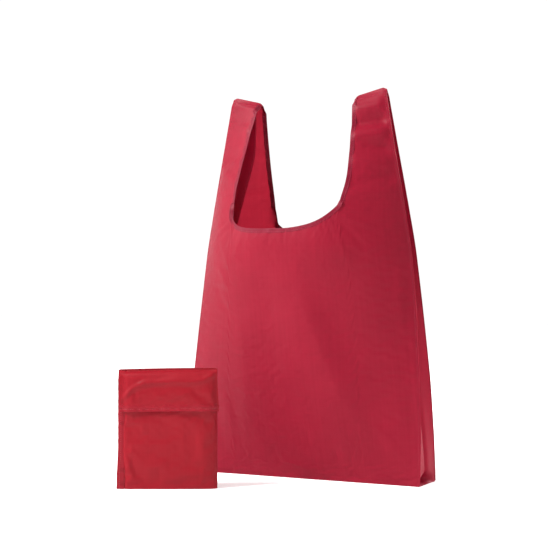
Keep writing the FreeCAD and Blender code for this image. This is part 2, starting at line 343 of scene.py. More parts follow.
def gusset(z, closed=0.0, slope=0.0):
    """The right gusset, from its front edge to its back edge, folded in along its middle."""
    t = np.linspace(-1, 1, GUSSET_COLUMNS + 1)[None, :]
    z = z[:, None] + 0 * t
    y = t * panel_out(half_width(z), z, closed)
    crease = 1 - np.abs(t) ** CREASE_POWER
    waver = 1.1 * MM * np.sin(z / (31 * MM) + 1.3) * crease * ease(z / (80 * MM))
    bulge = 1.4 * MM * np.sin(math.pi * np.abs(t)) * np.sin(z / (47 * MM))
    middle = 1 - np.abs(t)
    narrow = middle ** np.where(t < 0, 1.1, 2.6)
    low = np.exp(-(((z - 0.28 * TUCK_HEIGHT) / (0.5 * TUCK_HEIGHT)) ** 2))
    tuck = TUCK_DEPTH * narrow * low * ease(z / (2 * MM))
    pinch = CREASE_DEPTH * np.exp(-((t / 0.13) ** 2)) * ease(z / (14 * MM)) * ease(2.2 - z / (70 * MM))
    x = half_width(z) - gusset_fold(z) * crease + waver - tuck - pinch
    lift = 0.55 * TUCK_HEIGHT * middle * ease(z / (6 * MM)) * ease(2 - z / (26 * MM))
    droop = slope * (half_width(z) - x)
    return np.stack([x, y + bulge * np.sign(t) * ease(z / (60 * MM)), z + lift - droop], axis=-1)


def mirrored(grid):
    """The same cloth on the bag's left, facing outwards."""
    flipped = grid[:, ::-1].copy()
    flipped[..., 0] *= -1
    return flipped


def base(row_x):
    """The base, from its back edge to its front edge, notched by the gussets' folds."""
    t = np.linspace(1, -1, GUSSET_COLUMNS + 1)[:, None]
    zero = np.zeros(1)
    notch = gusset_fold(zero)[0] * (1 - np.abs(t) ** CREASE_POWER)
    x = row_x[None, :] / half_width(zero)[0] * (half_width(zero)[0] - notch)
    y = t * panel_out(half_width(zero), zero)[0]
    return np.stack([x, y + 0 * x, 0 * x], axis=-1)


def bag_grids():
    """Every cloth of the bag as a grid of points, named as its CAD node."""
    body_x, body_z = body_panel()
    strap_x, strap_z = strap_panel()
    left_x, left_z = -strap_x[:, ::-1], strap_z[:, ::-1]
    body_x, strap_x = rounded_corner(body_x, body_z), rounded_corner(strap_x, strap_z)
    closed = strap_closed()
    top_slope = (STRAP_INNER_DROP + STRAP_OUTER_RISE) / (strap_x[-1, -1] - strap_x[-1, 0])
    grids = {}
    for name, x, z, shut in (
        ("{}_panel", body_x, body_z, 0.0),
        ("right_handle_{}_strip", strap_x, strap_z, closed),
        ("left_handle_{}_strip", left_x, left_z, closed),
    ):
        for facing in FACINGS:
            grids[name.format(facing)] = panel_grid(x, z, facing, shut)
    grids["right_gusset"] = gusset(body_z[:, -1])
    grids["right_handle_gusset"] = gusset(strap_z[:, -1], closed, top_slope * strap_rows())
    grids["base_panel"] = base(body_x[0])
    grids["left_gusset"] = mirrored(grids["right_gusset"])
    grids["left_handle_gusset"] = mirrored(grids["right_handle_gusset"])
    return grids


# ---- sewing, simulating, refining


SAME_POINT = 0.02 * MM  # points closer than this are sewn together


def unit(vectors):
    return vectors / np.maximum(np.linalg.norm(vectors, axis=-1, keepdims=True), 1e-12)


def face_normals(points, faces):
    corner = points[faces]
    return np.cross(corner[:, 2] - corner[:, 0], corner[:, 3] - corner[:, 1])


def grid_faces(table):
    """The four-sided faces of a grid, from its table of point numbers."""
    corners = (table[:-1, :-1], table[:-1, 1:], table[1:, 1:], table[1:, :-1])
    return np.stack(corners, axis=-1).reshape(-1, 4)


def sew(grids):
    """One cloth from several grids: its points, its faces, and each grid's table of point numbers."""
    stacked = np.concatenate([grid.reshape(-1, 3) for grid in grids.values()])
    tree = kdtree.KDTree(len(stacked))
    for number, point in enumerate(stacked):
        tree.insert(point, number)
    tree.balance()
    first = np.arange(len(stacked))
    for number, point in enumerate(stacked):
        first[number] = min(found[1] for found in tree.find_range(point, SAME_POINT))
    kept, merged = np.unique(first, return_inverse=True)
    tables, faces, start = {}, [], 0
    for name, grid in grids.items():
        rows, columns = grid.shape[:2]
        table = merged[start:start + rows * columns].reshape(rows, columns)
        start += rows * columns
        tables[name] = table
        faces.append(grid_faces(table))
    return stacked[kept], np.concatenate(faces), tables


def new_mesh(name, points, faces):
    mesh = bpy.data.meshes.new(name)
    mesh.from_pydata([tuple(p) for p in points], [], [tuple(int(n) for n in f) for f in faces])
    mesh.update()
    return mesh


def simulate(points, faces, held, frames, gravity, settings):
    """Lets the cloth settle, with each point held as strongly as held says, and returns its points."""
    mesh = new_mesh("settling_cloth", points, faces)
    cloth = bpy.data.objects.new("settling_cloth", mesh)
    bpy.context.scene.collection.objects.link(cloth)
    group = cloth.vertex_groups.new(name="held")
    for number, weight in enumerate(held):
        group.add([number], float(weight), "REPLACE")
    modifier = cloth.modifiers.new("Cloth", "CLOTH")
    cloth_settings = modifier.settings
    cloth_settings.vertex_group_mass = "held"
    for name, value in settings.items():
        setattr(cloth_settings, name, value)
    cloth_settings.effector_weights.gravity = gravity
    modifier.collision_settings.use_collision = False
    modifier.collision_settings.use_self_collision = False
    modifier.point_cache.frame_start = 1
    modifier.point_cache.frame_end = frames
    for number in range(1, frames + 1):
        bpy.context.scene.frame_set(number)
    settled = cloth.evaluated_get(bpy.context.evaluated_depsgraph_get())
    moved = np.empty(len(points) * 3)
    settled.data.vertices.foreach_get("co", moved)
    bpy.data.objects.remove(cloth)
    bpy.data.meshes.remove(mesh)
    bpy.context.scene.frame_set(1)
    return moved.reshape(-1, 3)


def capped(rest, moved, limit):
    """Moved points, none further than limit from where it was at rest."""
    shift = moved - rest
    far = np.linalg.norm(shift, axis=1, keepdims=True)
    return rest + shift * (limit / (limit + far))


def refine_rows(grid, times):
    """Puts extra rows into a grid, on smooth curves through its points."""
    before = 2 * grid[:1] - grid[1:2]
    after = 2 * grid[-1:] - grid[-2:-1]
    longer = np.concatenate([before, grid, after])
    p0, p1, p2, p3 = longer[:-3], longer[1:-2], longer[2:-1], longer[3:]
    between = []
    for step in range(times):
        t = step / times
        curve = 2 * p1 + (p2 - p0) * t + (2 * p0 - 5 * p1 + 4 * p2 - p3) * t**2
        between.append(0.5 * (curve + (3 * p1 - p0 - 3 * p2 + p3) * t**3))
    finer = np.stack(between, axis=1).reshape(-1, *grid.shape[1:])
    return np.concatenate([finer, grid[-1:]])


def refine(grid, times=REFINE):
    rows = refine_rows(grid, times)
    return refine_rows(rows.swapaxes(0, 1), times).swapaxes(0, 1)


def shared_normals(grids):
    """Outward normals of several grids that are one smooth cloth."""
    points, faces, tables = sew(grids)
    of_faces = face_normals(points, faces)
    normals = np.zeros_like(points)
    for number in range(4):
        np.add.at(normals, faces[:, number], of_faces)
    normals = unit(normals)
    return {name: normals[table] for name, table in tables.items()}


# ---- materials


def feed(tree, node, inputs):
    """Sets a node's inputs, or links them to other nodes' outputs."""
    for key, value in inputs.items():
        if isinstance(value, bpy.types.NodeSocket):
            tree.links.new(value, node.inputs[key])
        else:
            node.inputs[key].default_value = value


def add(tree, kind, output, inputs, **settings):
    """A new shader node, given as one of its outputs."""
    node = tree.nodes.new(f"ShaderNode{kind}")
    for name, value in settings.items():
        setattr(node, name, value)
    feed(tree, node, inputs)
    return node.outputs[output]


def ramp(tree, source, low, high):
    """A map from 0..1 to low..high."""
    return add(tree, "MapRange", "Result", {"To Min": low, "To Max": high, "Value": source})


def noise_over(tree, place, scale, detail=2.0, stretch=(1, 1, 1)):
    """Noise over the given coordinates, stretched along them."""
    vector = add(tree, "Mapping", "Vector", {"Scale": stretch, "Vector": place})
    return add(tree, "TexNoise", "Fac", {"Scale": scale, "Detail": detail, "Vector": vector})


def threads_across(tree, place, direction):
    """Fine threads across one direction of the cloth."""
    inputs = {"Scale": math.pi / (10 * THREAD_PITCH), "Distortion": 0.6, "Detail": 1.0, "Detail Scale": 0.02}
    inputs["Vector"] = place
    return add(tree, "TexWave", "Fac", inputs, wave_type="BANDS", bands_direction=direction)


def combine(tree, operation, first, second):
    return add(tree, "Math", "Value", {0: first, 1: second}, operation=operation)


def scaled_colour(tree, colour, amount):
    """A colour made lighter or darker from place to place."""
    return add(tree, "VectorMath", "Vector", {0: colour, "Scale": amount}, operation="SCALE")


def bump(tree, height, distance):
    return add(tree, "Bump", "Normal", {"Strength": 0.5, "Distance": distance, "Height": height})


def new_material(name):
    material = bpy.data.materials.new(name)
    material.use_nodes = True
    tree = material.node_tree
    return material, tree, tree.nodes["Principled BSDF"]


def polyester(name, colour, glow_colour, gloss, sheen, through):
    """Thin coated polyester: a fine plain weave, faint upright slubs, a satin sheen, light through it."""
    material, tree, shader = new_material(name)
    flat = add(tree, "Attribute", "Vector", {}, attribute_name="cloth")
    weave = combine(tree, "MULTIPLY", threads_across(tree, flat, "X"), threads_across(tree, flat, "Y"))
    slubs = noise_over(tree, flat, 260.0, 4.0, (1.0, 0.03, 1.0))
    cross_slubs = noise_over(tree, flat, 400.0, 2.0, (0.04, 1.0, 1.0))
    clouds = noise_over(tree, flat, 16.0, 3.0)
    threads = combine(tree, "ADD", slubs, combine(tree, "MULTIPLY", cross_slubs, 0.4))
    threads = combine(tree, "MULTIPLY", threads, 0.7)
    uneven = combine(tree, "ADD", ramp(tree, threads, -0.14, 0.14), ramp(tree, clouds, -0.10, 0.10))
    tone = combine(tree, "ADD", uneven, ramp(tree, weave, 0.94, 1.04))
    feed(tree, shader, {
        "Base Color": scaled_colour(tree, colour, tone),
        "Roughness": ramp(tree, slubs, gloss - 0.07, gloss + 0.07),
        "Normal": bump(tree, combine(tree, "ADD", weave, threads), 0.06 * MM),
        "Specular IOR Level": 0.16,
        "Sheen Weight": sheen,
        "Sheen Roughness": 0.20,
        "Sheen Tint": (1.0, 0.72, 0.78, 1.0),
    })
    glow = add(tree, "BsdfTranslucent", "BSDF", {"Color": scaled_colour(tree, glow_colour, tone)})
    mix = add(tree, "MixShader", "Shader", {"Fac": through, 1: shader.outputs["BSDF"], 2: glow})
    feed(tree, tree.nodes["Material Output"], {"Surface": mix})
    return material


def thread_material(name, colour):
    """Sewing thread: a twisted strand, glossier than the cloth."""
    material, tree, shader = new_material(name)
    twist = noise_over(tree, add(tree, "TexCoord", "Object", {}), 900.0)
    feed(tree, shader, {
        "Base Color": scaled_colour(tree, colour, ramp(tree, twist, 0.8, 1.2)),
        "Normal": bump(tree, twist, 0.05 * MM),
        "Roughness": 0.45,
    })
    return material


def paper(name, colour):
    """The plain pale surface that the bag stands on."""
    material, tree, shader = new_material(name)
    grain = noise_over(tree, add(tree, "TexCoord", "Object", {}), 3.0)
    feed(tree, shader, {
        "Base Color": scaled_colour(tree, colour, ramp(tree, grain, 0.99, 1.01)),
        "Roughness": 0.9,
        "Specular IOR Level": 0.1,
    })
    return material


THREAD_PITCH = 0.55 * MM
BAG_RED = (0.220, 0.0022, 0.0165)
BAG_GLOW = (0.72, 0.14, 0.21)
POUCH_RED = (0.240, 0.0030, 0.0100)
POUCH_GLOW = (0.70, 0.06, 0.10)

# Each cloth's colour, the colour of the light through it, roughness, sheen, and how much light shows through.
CLOTHS = {
    "bag_cloth": (BAG_RED, BAG_GLOW, 0.5, 0.36, 0.28),
    # The bindings' colour is darker than the bag cloth: painted shade for the dark bands along the hems.
    "bag_binding": ((0.155, 0.0024, 0.0155), BAG_GLOW, 0.5, 0.02, 0.20),
    "pouch_cloth": (POUCH_RED, POUCH_GLOW, 0.42, 0.14, 0.2),
    "pouch_binding": ((0.215, 0.0036, 0.0112), POUCH_GLOW, 0.42, 0.2, 0.1),
    # The back's cloth is the bag cloth lit up: the same colour with more sheen and more light through, so
    # that the back's inner faces read brighter.
    "bag_back_cloth_lit": (BAG_RED, BAG_GLOW, 0.5, 0.45, 0.60),
    # The gussets' cloth is the bag cloth painted lighter, against the shade in their deep folds, with less
    # sheen.
    "bag_gusset_cloth": ((0.330, 0.0050, 0.026), BAG_GLOW, 0.5, 0.03, 0.28),
    # The flap's cloth is the pouch cloth lit up: the same colour with stronger sheen, so that the flap reads
    # paler than the body.
    "pouch_flap_cloth_lit": (POUCH_RED, POUCH_GLOW, 0.42, 0.75, 0.2),
}
MATERIALS = {name: polyester(name, *numbers) for name, numbers in CLOTHS.items()}
MATERIALS["bag_thread"] = thread_material("bag_thread", (0.28, 0.010, 0.034))
MATERIALS["pouch_thread"] = thread_material("pouch_thread", (0.34, 0.025, 0.040))

# ---- pieces


def finish_piece(name, mesh, material):
    piece = bpy.data.objects.new(name, mesh)
    bpy.context.scene.collection.objects.link(piece)
    mesh.materials.append(MATERIALS[material])
    return piece


def shade_smooth(mesh):
    mesh.polygons.foreach_set("use_smooth", np.ones(len(mesh.polygons), dtype=bool))


def lay_flat(mesh, places):
    """Stores where each point lies on the flat cloth, which the weave follows."""
    attribute = mesh.attributes.new("cloth", "FLOAT_VECTOR", "POINT")
    attribute.data.foreach_set("vector", places.ravel())


def sewn(node):
    """The name of the piece that stands for a CAD node."""
    return f"{node}_sewn"


def cloth_piece(node, grid, normals, flat, material):
    """A closed sheet of cloth around a grid, shaded as one with the cloth that it was cut from."""
    rows, columns = grid.shape[:2]
    count = rows * columns
    half = normals * CLOTH / 2
    points = np.concatenate([(grid + half).reshape(-1, 3), (grid - half).reshape(-1, 3)])
    number = np.arange(count).reshape(rows, columns)
    front = grid_faces(number)
    back = front[:, ::-1] + count
    around = np.concatenate([number[0, :-1], number[:-1, -1], number[-1, :0:-1], number[:0:-1, 0]])
    onward = np.roll(around, -1)
    rim = np.stack([around, around + count, onward + count, onward], axis=-1)
    mesh = new_mesh(sewn(node), points, np.concatenate([front, back, rim]))
    shade_smooth(mesh)
    turned = normals.reshape(-1, 3)
    rim_normals = unit(face_normals(points, rim))
    loops = [turned[front.ravel()], -turned[back.ravel() - count], np.repeat(rim_normals, 4, axis=0)]
    mesh.normals_split_custom_set([tuple(n) for n in np.concatenate(loops)])
    places = np.zeros((2, count, 3))
    places[..., :2] = flat.reshape(-1, 2)
    lay_flat(mesh, places)
    return finish_piece(sewn(node), mesh, material)


def even_path(points, spacing, *others):
    """A line of points at an even spacing, with other rows of numbers carried along."""
    steps = np.linalg.norm(np.diff(points, axis=0), axis=1)
    run = np.concatenate([[0], np.cumsum(steps)])
    count = max(2, int(round(run[-1] / spacing)) + 1)
    at = np.linspace(0, run[-1], count)
    carried = [np.stack([np.interp(at, run, row[:, k]) for k in range(row.shape[1])], axis=1)
               for row in (points, *others)]
    return (at, *carried)


def square_to(points, into, up):
    """The direction along a line, and the inward and upward directions made square to it."""
    along = unit(np.gradient(points, axis=0))
    up = unit(up - along * (up * along).sum(axis=1, keepdims=True))
    square = np.cross(up, along)
    return along, square * np.sign((square * into).sum()), up


def wander(run, reach, row):
    """Slow unevenness along a line."""
    return np.array([noise.noise(Vector((r / reach, *row))) for r in run])


def strip_piece(name, path, normals, inwards, section, material, pucker, stitch):
    """A closed band along an edge. The section is a ring of (inwards, outwards) distances."""
    run, points, up, into = even_path(path, stitch / 3, normals, inwards)
    _, into, up = square_to(points, into, up)
    inward, outward = np.array(section).T[:, None, :]
    pull = np.sin(2 * math.pi * run / stitch)
    slow = wander(run, 9 * MM, (0.5, 3.1))
    wide = (1 + pucker * (0.10 * pull + 0.45 * slow))[:, None]
    thick = (1 + pucker * (0.55 * pull + 0.6 * slow))[:, None]
    bend = (pucker * 0.5 * MM * wander(run, 14 * MM, (8.5, 1.7)))[:, None]
    far = np.clip(inward / inward.max(), 0, 1)
    sideways = inward * np.where(far > 0.5, wide, 1)
    rise = outward * thick + bend * (1 - far * 0.5)
    rows = points[:, None, :] + into[:, None, :] * sideways[..., None] + up[:, None, :] * rise[..., None]
    count, sides = rows.shape[:2]
    number = np.arange(count * sides).reshape(count, sides)
    onward = np.roll(number, -1, axis=1)
    walls = np.stack([number[:-1], number[1:], onward[1:], onward[:-1]], axis=-1).reshape(-1, 4)
    mesh = new_mesh(name, rows.reshape(-1, 3), [*walls, number[0], number[-1][::-1]])
    turn_outwards(mesh)
    shade_smooth(mesh)
    mesh.set_sharp_from_angle(angle=math.radians(SHARP_ANGLE))
    flat = np.zeros((count, sides, 3))
    flat[..., 0] = inward + 0.4 * outward
    flat[..., 1] = run[:, None]
    lay_flat(mesh, flat)
    return finish_piece(name, mesh, material)


def turn_outwards(mesh):
    """Turns a closed mesh's faces outwards if they face in."""
    volume = 0.0
    for face in mesh.polygons:
        a = mesh.vertices[face.vertices[0]].co
        for k in range(1, len(face.vertices) - 1):
            b = mesh.vertices[face.vertices[k]].co
            c = mesh.vertices[face.vertices[k + 1]].co
            volume += a.dot(b.cross(c))
    if volume < 0:
        mesh.flip_normals()


SHARP_ANGLE = 50
STITCH = 3 * MM  # from one stitch to the next
STITCH_HALF = 0.36 * STITCH  # half of one stitch's length
THREAD_RADIUS = 0.24 * MM
FINE_THREAD_RADIUS = 0.2 * MM
THREAD_SIDES = 6
# One stitch: how far along it each ring is, the ring's size, and how high it lies.
STITCH_RINGS = (
    (-1.0, 0.25, -1.0), (-0.75, 0.8, -0.25), (0.0, 1.0, 0.15), (0.75, 0.8, -0.25), (1.0, 0.25, -1.0),
)


def stitch_faces():
    """The faces of one stitch, by the numbers of its points."""
    sides, count = THREAD_SIDES, len(STITCH_RINGS) * THREAD_SIDES
    faces = []
    for start in range(0, count - sides, sides):
        for side in range(sides):
            a, b = start + side, start + (side + 1) % sides
            faces.append((a, b, b + sides, a + sides))
    return faces + [tuple(range(sides - 1, -1, -1)), tuple(range(count - sides, count))]


def stitches(name, path, normals, inwards, offset, rise, radius, material):
    """A row of sewn stitches along an edge: short rounded threads, each dipping in at its ends."""
    _, points, up, into = even_path(path, STITCH / 2, normals, inwards)
    along, into, up = square_to(points, into, up)
    centres = (points + into * offset + up * rise)[1:-1:2]
    along, into, up = along[1:-1:2], into[1:-1:2], up[1:-1:2]
    rows = []
    for place, size, lift in STITCH_RINGS:
        middle = centres + along * (STITCH_HALF * place) + up * (radius * lift)
        for turn in np.arange(THREAD_SIDES) * 2 * math.pi / THREAD_SIDES:
            rows.append(middle + (into * math.cos(turn) + up * math.sin(turn)) * radius * size)
    points = np.stack(rows, axis=1)
    one, per = stitch_faces(), len(rows)
    every = [tuple(n + k * per for n in face) for k in range(len(points)) for face in one]
    mesh = new_mesh(name, points.reshape(-1, 3), every)
    turn_outwards(mesh)
    shade_smooth(mesh)
    return finish_piece(name, mesh, material)


STITCH_SHARE = 0.74  # how far into a hem its stitches are


def hem_section(width, half):
    """A folded hem's ring: it wraps the edge, and has a shallow groove under its stitches."""
    groove = STITCH_SHARE * width
    face = [
        (-0.3 * MM, 0.75), (0.5 * MM, 1.0), (groove - 0.8 * MM, 0.95), (groove, 0.72),
        (groove + 0.7 * MM, 0.9), (width - 0.15 * MM, 0.75), (width, 0.2),
    ]
    over = [(far, share * half) for far, share in face]
    return [(-0.5 * MM, 0.0)] + over + [(far, -high) for far, high in reversed(over)]


def slab_section(low, high, half):
    """A flat band's ring, with rounded edges."""
    return [
        (low, -0.5 * half), (low, 0.5 * half), (low + 0.4 * half, half), (high - 0.4 * half, half),
        (high, 0.5 * half), (high, -0.5 * half), (high - 0.4 * half, -half), (low + 0.4 * half, -half),
    ]


# ---- the bag


BASE_HOLD = 1.0  # how strongly each part of the bag is held in the simulation, up to 1
GUSSET_HOLD = 0.75
OPEN_HOLD = 0.36
EDGE_HOLD = {"strip": 0.9, "panel": 0.95}
NECK_HOLD = 0.85


def hold_bag(points, tables):
    """How strongly each point is held: its sewn edges firmly, the open cloth lightly."""
    held = np.full(len(points), OPEN_HOLD)
    for name, table in tables.items():
        kind = piece_kind(name)
        if kind in EDGE_HOLD:
            edges = table[:, [0, -1]]
            held[edges] = np.maximum(held[edges], EDGE_HOLD[kind])
        else:
            held[table] = BASE_HOLD if kind == "base" else GUSSET_HOLD
    for name, table in tables.items():
        if name in ("front_panel", "back_panel"):
            held[table[0]] = BASE_HOLD
            held[table[-1]] = np.maximum(held[table[-1]], NECK_HOLD)
        if "handle" in name:
            held[table[-1]] = 1.0
            held[table[-2]] = 0.9
    return held


ANY_CLOTH = {
    "quality": 6,
    "tension_damping": 8.0,
    "compression_damping": 8.0,
    "shear_damping": 6.0,
    "bending_damping": 1.0,
    "air_damping": 3.0,
    "pin_stiffness": 1.0,
}
BAG_CLOTH = ANY_CLOTH | {
    "mass": 0.12,
    "tension_stiffness": 18.0,
    "compression_stiffness": 18.0,
    "shear_stiffness": 6.0,
    "bending_stiffness": 4.0,
    "shrink_min": -0.004,
}
BAG_FRAMES = 24
BAG_GRAVITY = 0.3
BAG_LIMIT = 5 * MM  # no point moves further than this


def settle_bag(grids):
    """The bag's grids after the simulation, refined."""
    points, faces, tables = sew(grids)
    moved = simulate(points, faces, hold_bag(points, tables), BAG_FRAMES, BAG_GRAVITY, BAG_CLOTH)
    points = capped(points, moved, BAG_LIMIT)
    points[:, 2] = np.maximum(points[:, 2], 0)
    finer = {name: refine(points[table]) for name, table in tables.items()}
    for name, grid in finer.items():
        for facing, sign in (("front", -1), ("back", 1)):
            if facing in name:
                grid[..., 1] += sign * later_folds(grid, facing, "handle" in name)
    return finer


def later_folds(grid, facing, strap):
    """The rest of each fold, which the simulation doesn't soften."""
    x, z = grid[..., 0], grid[..., 2]
    fade = from_edges(x, z)
    if strap:
        rise = np.linspace(0, 1, len(grid))[:, None]
        fade = fade * (1 - ease((rise - 0.9) / 0.1))
    return (1 - BEFORE) * fold_height(x, z, FOLDS[facing]) * fade


def flat_coordinates(grids):
    """Where each point lay on the flat cloth: across and along it, in metres."""
    flat = {}
    for name, grid in grids.items():
        fine = refine(grid)
        steps = np.linalg.norm(np.diff(fine, axis=1), axis=2)
        across = np.concatenate([np.zeros((len(fine), 1)), np.cumsum(steps, axis=1)], axis=1)
        across = across - across[:, -1:] / 2
        along = fine[..., 1] if name == "base_panel" else fine[..., 2]
        flat[name] = np.stack([across, along], axis=-1)
    return flat


HEM_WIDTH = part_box("front_base_seam_binding")[1].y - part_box("front_base_seam_binding")[0].y


def bag_families():
    """Grids that are one smooth cloth, and so are shaded as one."""
    families = [["base_panel"]]
    for facing in FACINGS:
        families.append([f"{facing}_panel"] + [f"{side}_handle_{facing}_strip" for side in SIDES])
    for side in SIDES:
        families.append([f"{side}_gusset", f"{side}_handle_gusset"])
    return families


def attach(piece, body):
    """Rides on a body; a strap's piece is only baked in place."""
    if not body.endswith("handle"):
        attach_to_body(piece, body)
        return
    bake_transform(piece)


def article(body):
    return "pouch" if body in ("pouch", "flap") else "bag"


def edging(node, body, path, up, into, section, material, pucker=0.0, stitch=STITCH):
    """A hem or a seam that stands for a CAD node."""
    strip = strip_piece(sewn(node), path, up, into, section, material, pucker, stitch)
    attach(strip, body)
    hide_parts(node)
    return strip


def stitching(name, body, path, up, into, offset, rise, radius=THREAD_RADIUS):
    """A row of stitches, this far in from the path and above it, in the bag's or the pouch's thread."""
    thread, slot = f"{article(body)}_thread", f"{article(body)}_binding"
    row = stitches(f"{name}_stitches", path, up, into, offset, rise, radius, thread)
    attach(row, body)
    return row


def edge_frames(grid, normals, which):
    """The points, normals and inward directions along one edge of a grid."""
    if which == "first":
        return grid[:, 0], normals[:, 0], grid[:, 1] - grid[:, 0]
    if which == "last":
        return grid[:, -1], normals[:, -1], grid[:, -2] - grid[:, -1]
    return grid[-1], normals[-1], grid[-2] - grid[-1]


def outer_is_last(hand, facing):
    """Whether a strap's outer edge is its last column."""
    return (hand == "right") == (facing == "front")


def every(points, direction):
    """The same direction at each point."""
    return np.tile(np.array(direction, dtype=float), (len(points), 1))


def make_bag():
    """Every cloth, hem, seam and row of stitches of the bag and its straps."""
    rest = bag_grids()
    flat = flat_coordinates(rest)
    grids = settle_bag(rest)
    normals = {}
    for family in bag_families():
        normals.update(shared_normals({name: grids[name] for name in family}))
    pieces = {}
    for name, grid in grids.items():
        piece = cloth_piece(name, grid, normals[name], flat[name], bag_material(name))
        body = f"{name.split('_')[0]}_handle" if "handle" in name else "bag_body"
        attach(piece, body)
        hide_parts(name)
        pieces[name] = piece
    trims = {name: [] for name in pieces}
    make_neck_hems(grids, normals, trims)
    make_side_seams(grids, normals, trims)
    make_top_seams(grids, normals, trims)
    make_base_seams(trims)
    for name, piece in pieces.items():
        declare_sheet(rest[name])
    return pieces


def bag_material(name):
    """The gussets get a copy of the bag cloth painted lighter, against the shade in their deep folds; the
    back gets a lit copy with more sheen and more light through.
    """
    if "gusset" in name:
        return "bag_gusset_cloth"
    if "back" in name:
        return "bag_back_cloth_lit"
    return "bag_cloth"


def piece_kind(name):
    return "base" if name == "base_panel" else name.split("_")[-1]


def declare_sheet(rest):
    """Measures the size that a cloth was cut to, from its grid before the simulation; nothing is done with
    it.
    """
    widest = np.linalg.norm(np.diff(rest, axis=1), axis=2).sum(axis=1).max()
    longest = np.linalg.norm(np.diff(rest, axis=0), axis=2).sum(axis=0).max()
    one, two = rest[1:, 1:] - rest[:-1, :-1], rest[1:, :-1] - rest[:-1, 1:]
    area = np.linalg.norm(np.cross(one, two), axis=2).sum() / 2
    area = min(float(area), 0.999 * float(widest * longest))


HEM_HALF = 0.5 * MM
SEAM_START = 0.8 * MM  # the side seams start this far above the floor
TOP_SEAM_WIDTH = 8 * MM


def make_neck_hems(grids, normals, trims):
    """Hems around the neck and up the straps' inner edges, with stitches on both faces."""
    section = hem_section(HEM_WIDTH, HEM_HALF)
    below_strap = STRAP_COLUMNS * REFINE
    for facing in FACINGS:
        panel = f"{facing}_panel"
        top = edge_frames(grids[panel], normals[panel], "top")
        jobs = [(f"{facing}_neck", "bag_body", panel, [row[below_strap:-below_strap] for row in top])]
        for hand in SIDES:
            strip = f"{hand}_handle_{facing}_strip"
            edge = "first" if outer_is_last(hand, facing) else "last"
            frames = edge_frames(grids[strip], normals[strip], edge)
            jobs.append((f"{hand}_handle_{facing}", f"{hand}_handle", strip, frames))
        for label, body, cloth, (points, outward, inward) in jobs:
            hem = edging(f"{label}_binding", body, points, outward, inward, section, "bag_binding", 0.35)
            trims[cloth].append(hem)
            for face, sign in (("outer", 1), ("inner", -1)):
                row = stitching(f"{label}_{face}", body, points, outward * sign, inward,
                                STITCH_SHARE * HEM_WIDTH, 0.60 * MM)
                trims[cloth].append(row)


def make_side_seams(grids, normals, trims):
    """The seams between the panels and the gussets: a narrow ridge outside, bound edges inside."""
    section = slab_section(-1.1 * MM, HEM_WIDTH, 0.42 * MM)
    for facing in FACINGS:
        for hand in SIDES:
            strap = f"{hand}_handle"
            edge, side_edge = ("last", "first") if outer_is_last(hand, facing) else ("first", "last")
            for part, body, panel, side, node in (
                ("body", "bag_body", f"{facing}_panel", f"{hand}_gusset", f"{hand}_{facing}"),
                ("strap", strap, f"{strap}_{facing}_strip", f"{strap}_gusset", f"{strap}_{facing}"),
            ):
                points, up, into = edge_frames(grids[panel], normals[panel], edge)
                _, side_up, side_into = edge_frames(grids[side], normals[side], side_edge)
                lines = points, up, into, unit(unit(into) + unit(side_into)), unit(up) - unit(side_up)
                if part == "body":
                    lines = [row[points[:, 2] > SEAM_START] for row in lines]
                points, up, into, inward, across = lines
                seam = edging(f"{node}_seam_binding", body, points, across, inward, section, "bag_cloth", 0.2)
                row = stitching(f"{hand}_{facing}_{part}_edge", body, points, up, into,
                                2.2 * MM, 0.30 * MM, FINE_THREAD_RADIUS)
                trims[panel] += [seam, row]


def make_top_seams(grids, normals, trims):
    """The seam across each strap's top, which joins its front and its back."""
    section = slab_section(-0.2 * MM, TOP_SEAM_WIDTH, 0.5 * MM)
    row_below = -1 - round(TOP_SEAM_WIDTH / (BAG_TOP - NECK_CORNER) * STRAP_ROWS * REFINE)
    for hand in SIDES:
        strap = f"{hand}_handle"
        middle = grids[f"{strap}_front_strip"][-1].copy()
        middle[:, 1] = 0
        forward, down = every(middle, (0, -1, 0)), every(middle, (0, 0, -1))
        seam = edging(f"{strap}_top_seam", strap, middle, forward, down, section, "bag_cloth")
        trims[f"{strap}_front_strip"].append(seam)
        for facing in FACINGS:
            strip = f"{strap}_{facing}_strip"
            line = grids[strip][row_below]
            inward = grids[strip][row_below - 1] - line
            row = stitching(f"{hand}_{facing}_top", strap, line, normals[strip][row_below], inward,
                            0.0, 0.32 * MM, FINE_THREAD_RADIUS)
            trims[strip].append(row)


def make_base_seams(trims):
    """The bound edges of the base, inside the bag."""
    for facing in FACINGS:
        node = f"{facing}_base_seam_binding"
        low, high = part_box(node)
        points = np.linspace((low.x, low.y, 1.2 * MM), (high.x, low.y, 1.2 * MM), 120)
        up, into = every(points, (0, 0, 1)), every(points, (0, 1, 0))
        section = slab_section(0.0, high.y - low.y, 0.5 * MM)
        seam = edging(node, "bag_body", points, up, into, section, "bag_binding", 0.35)
        row = stitching(f"{facing}_base", "bag_body", points, up, into, (high.y - low.y) / 2, 0.55 * MM)
        trims["base_panel"] += [seam, row]


# ---- the pouch

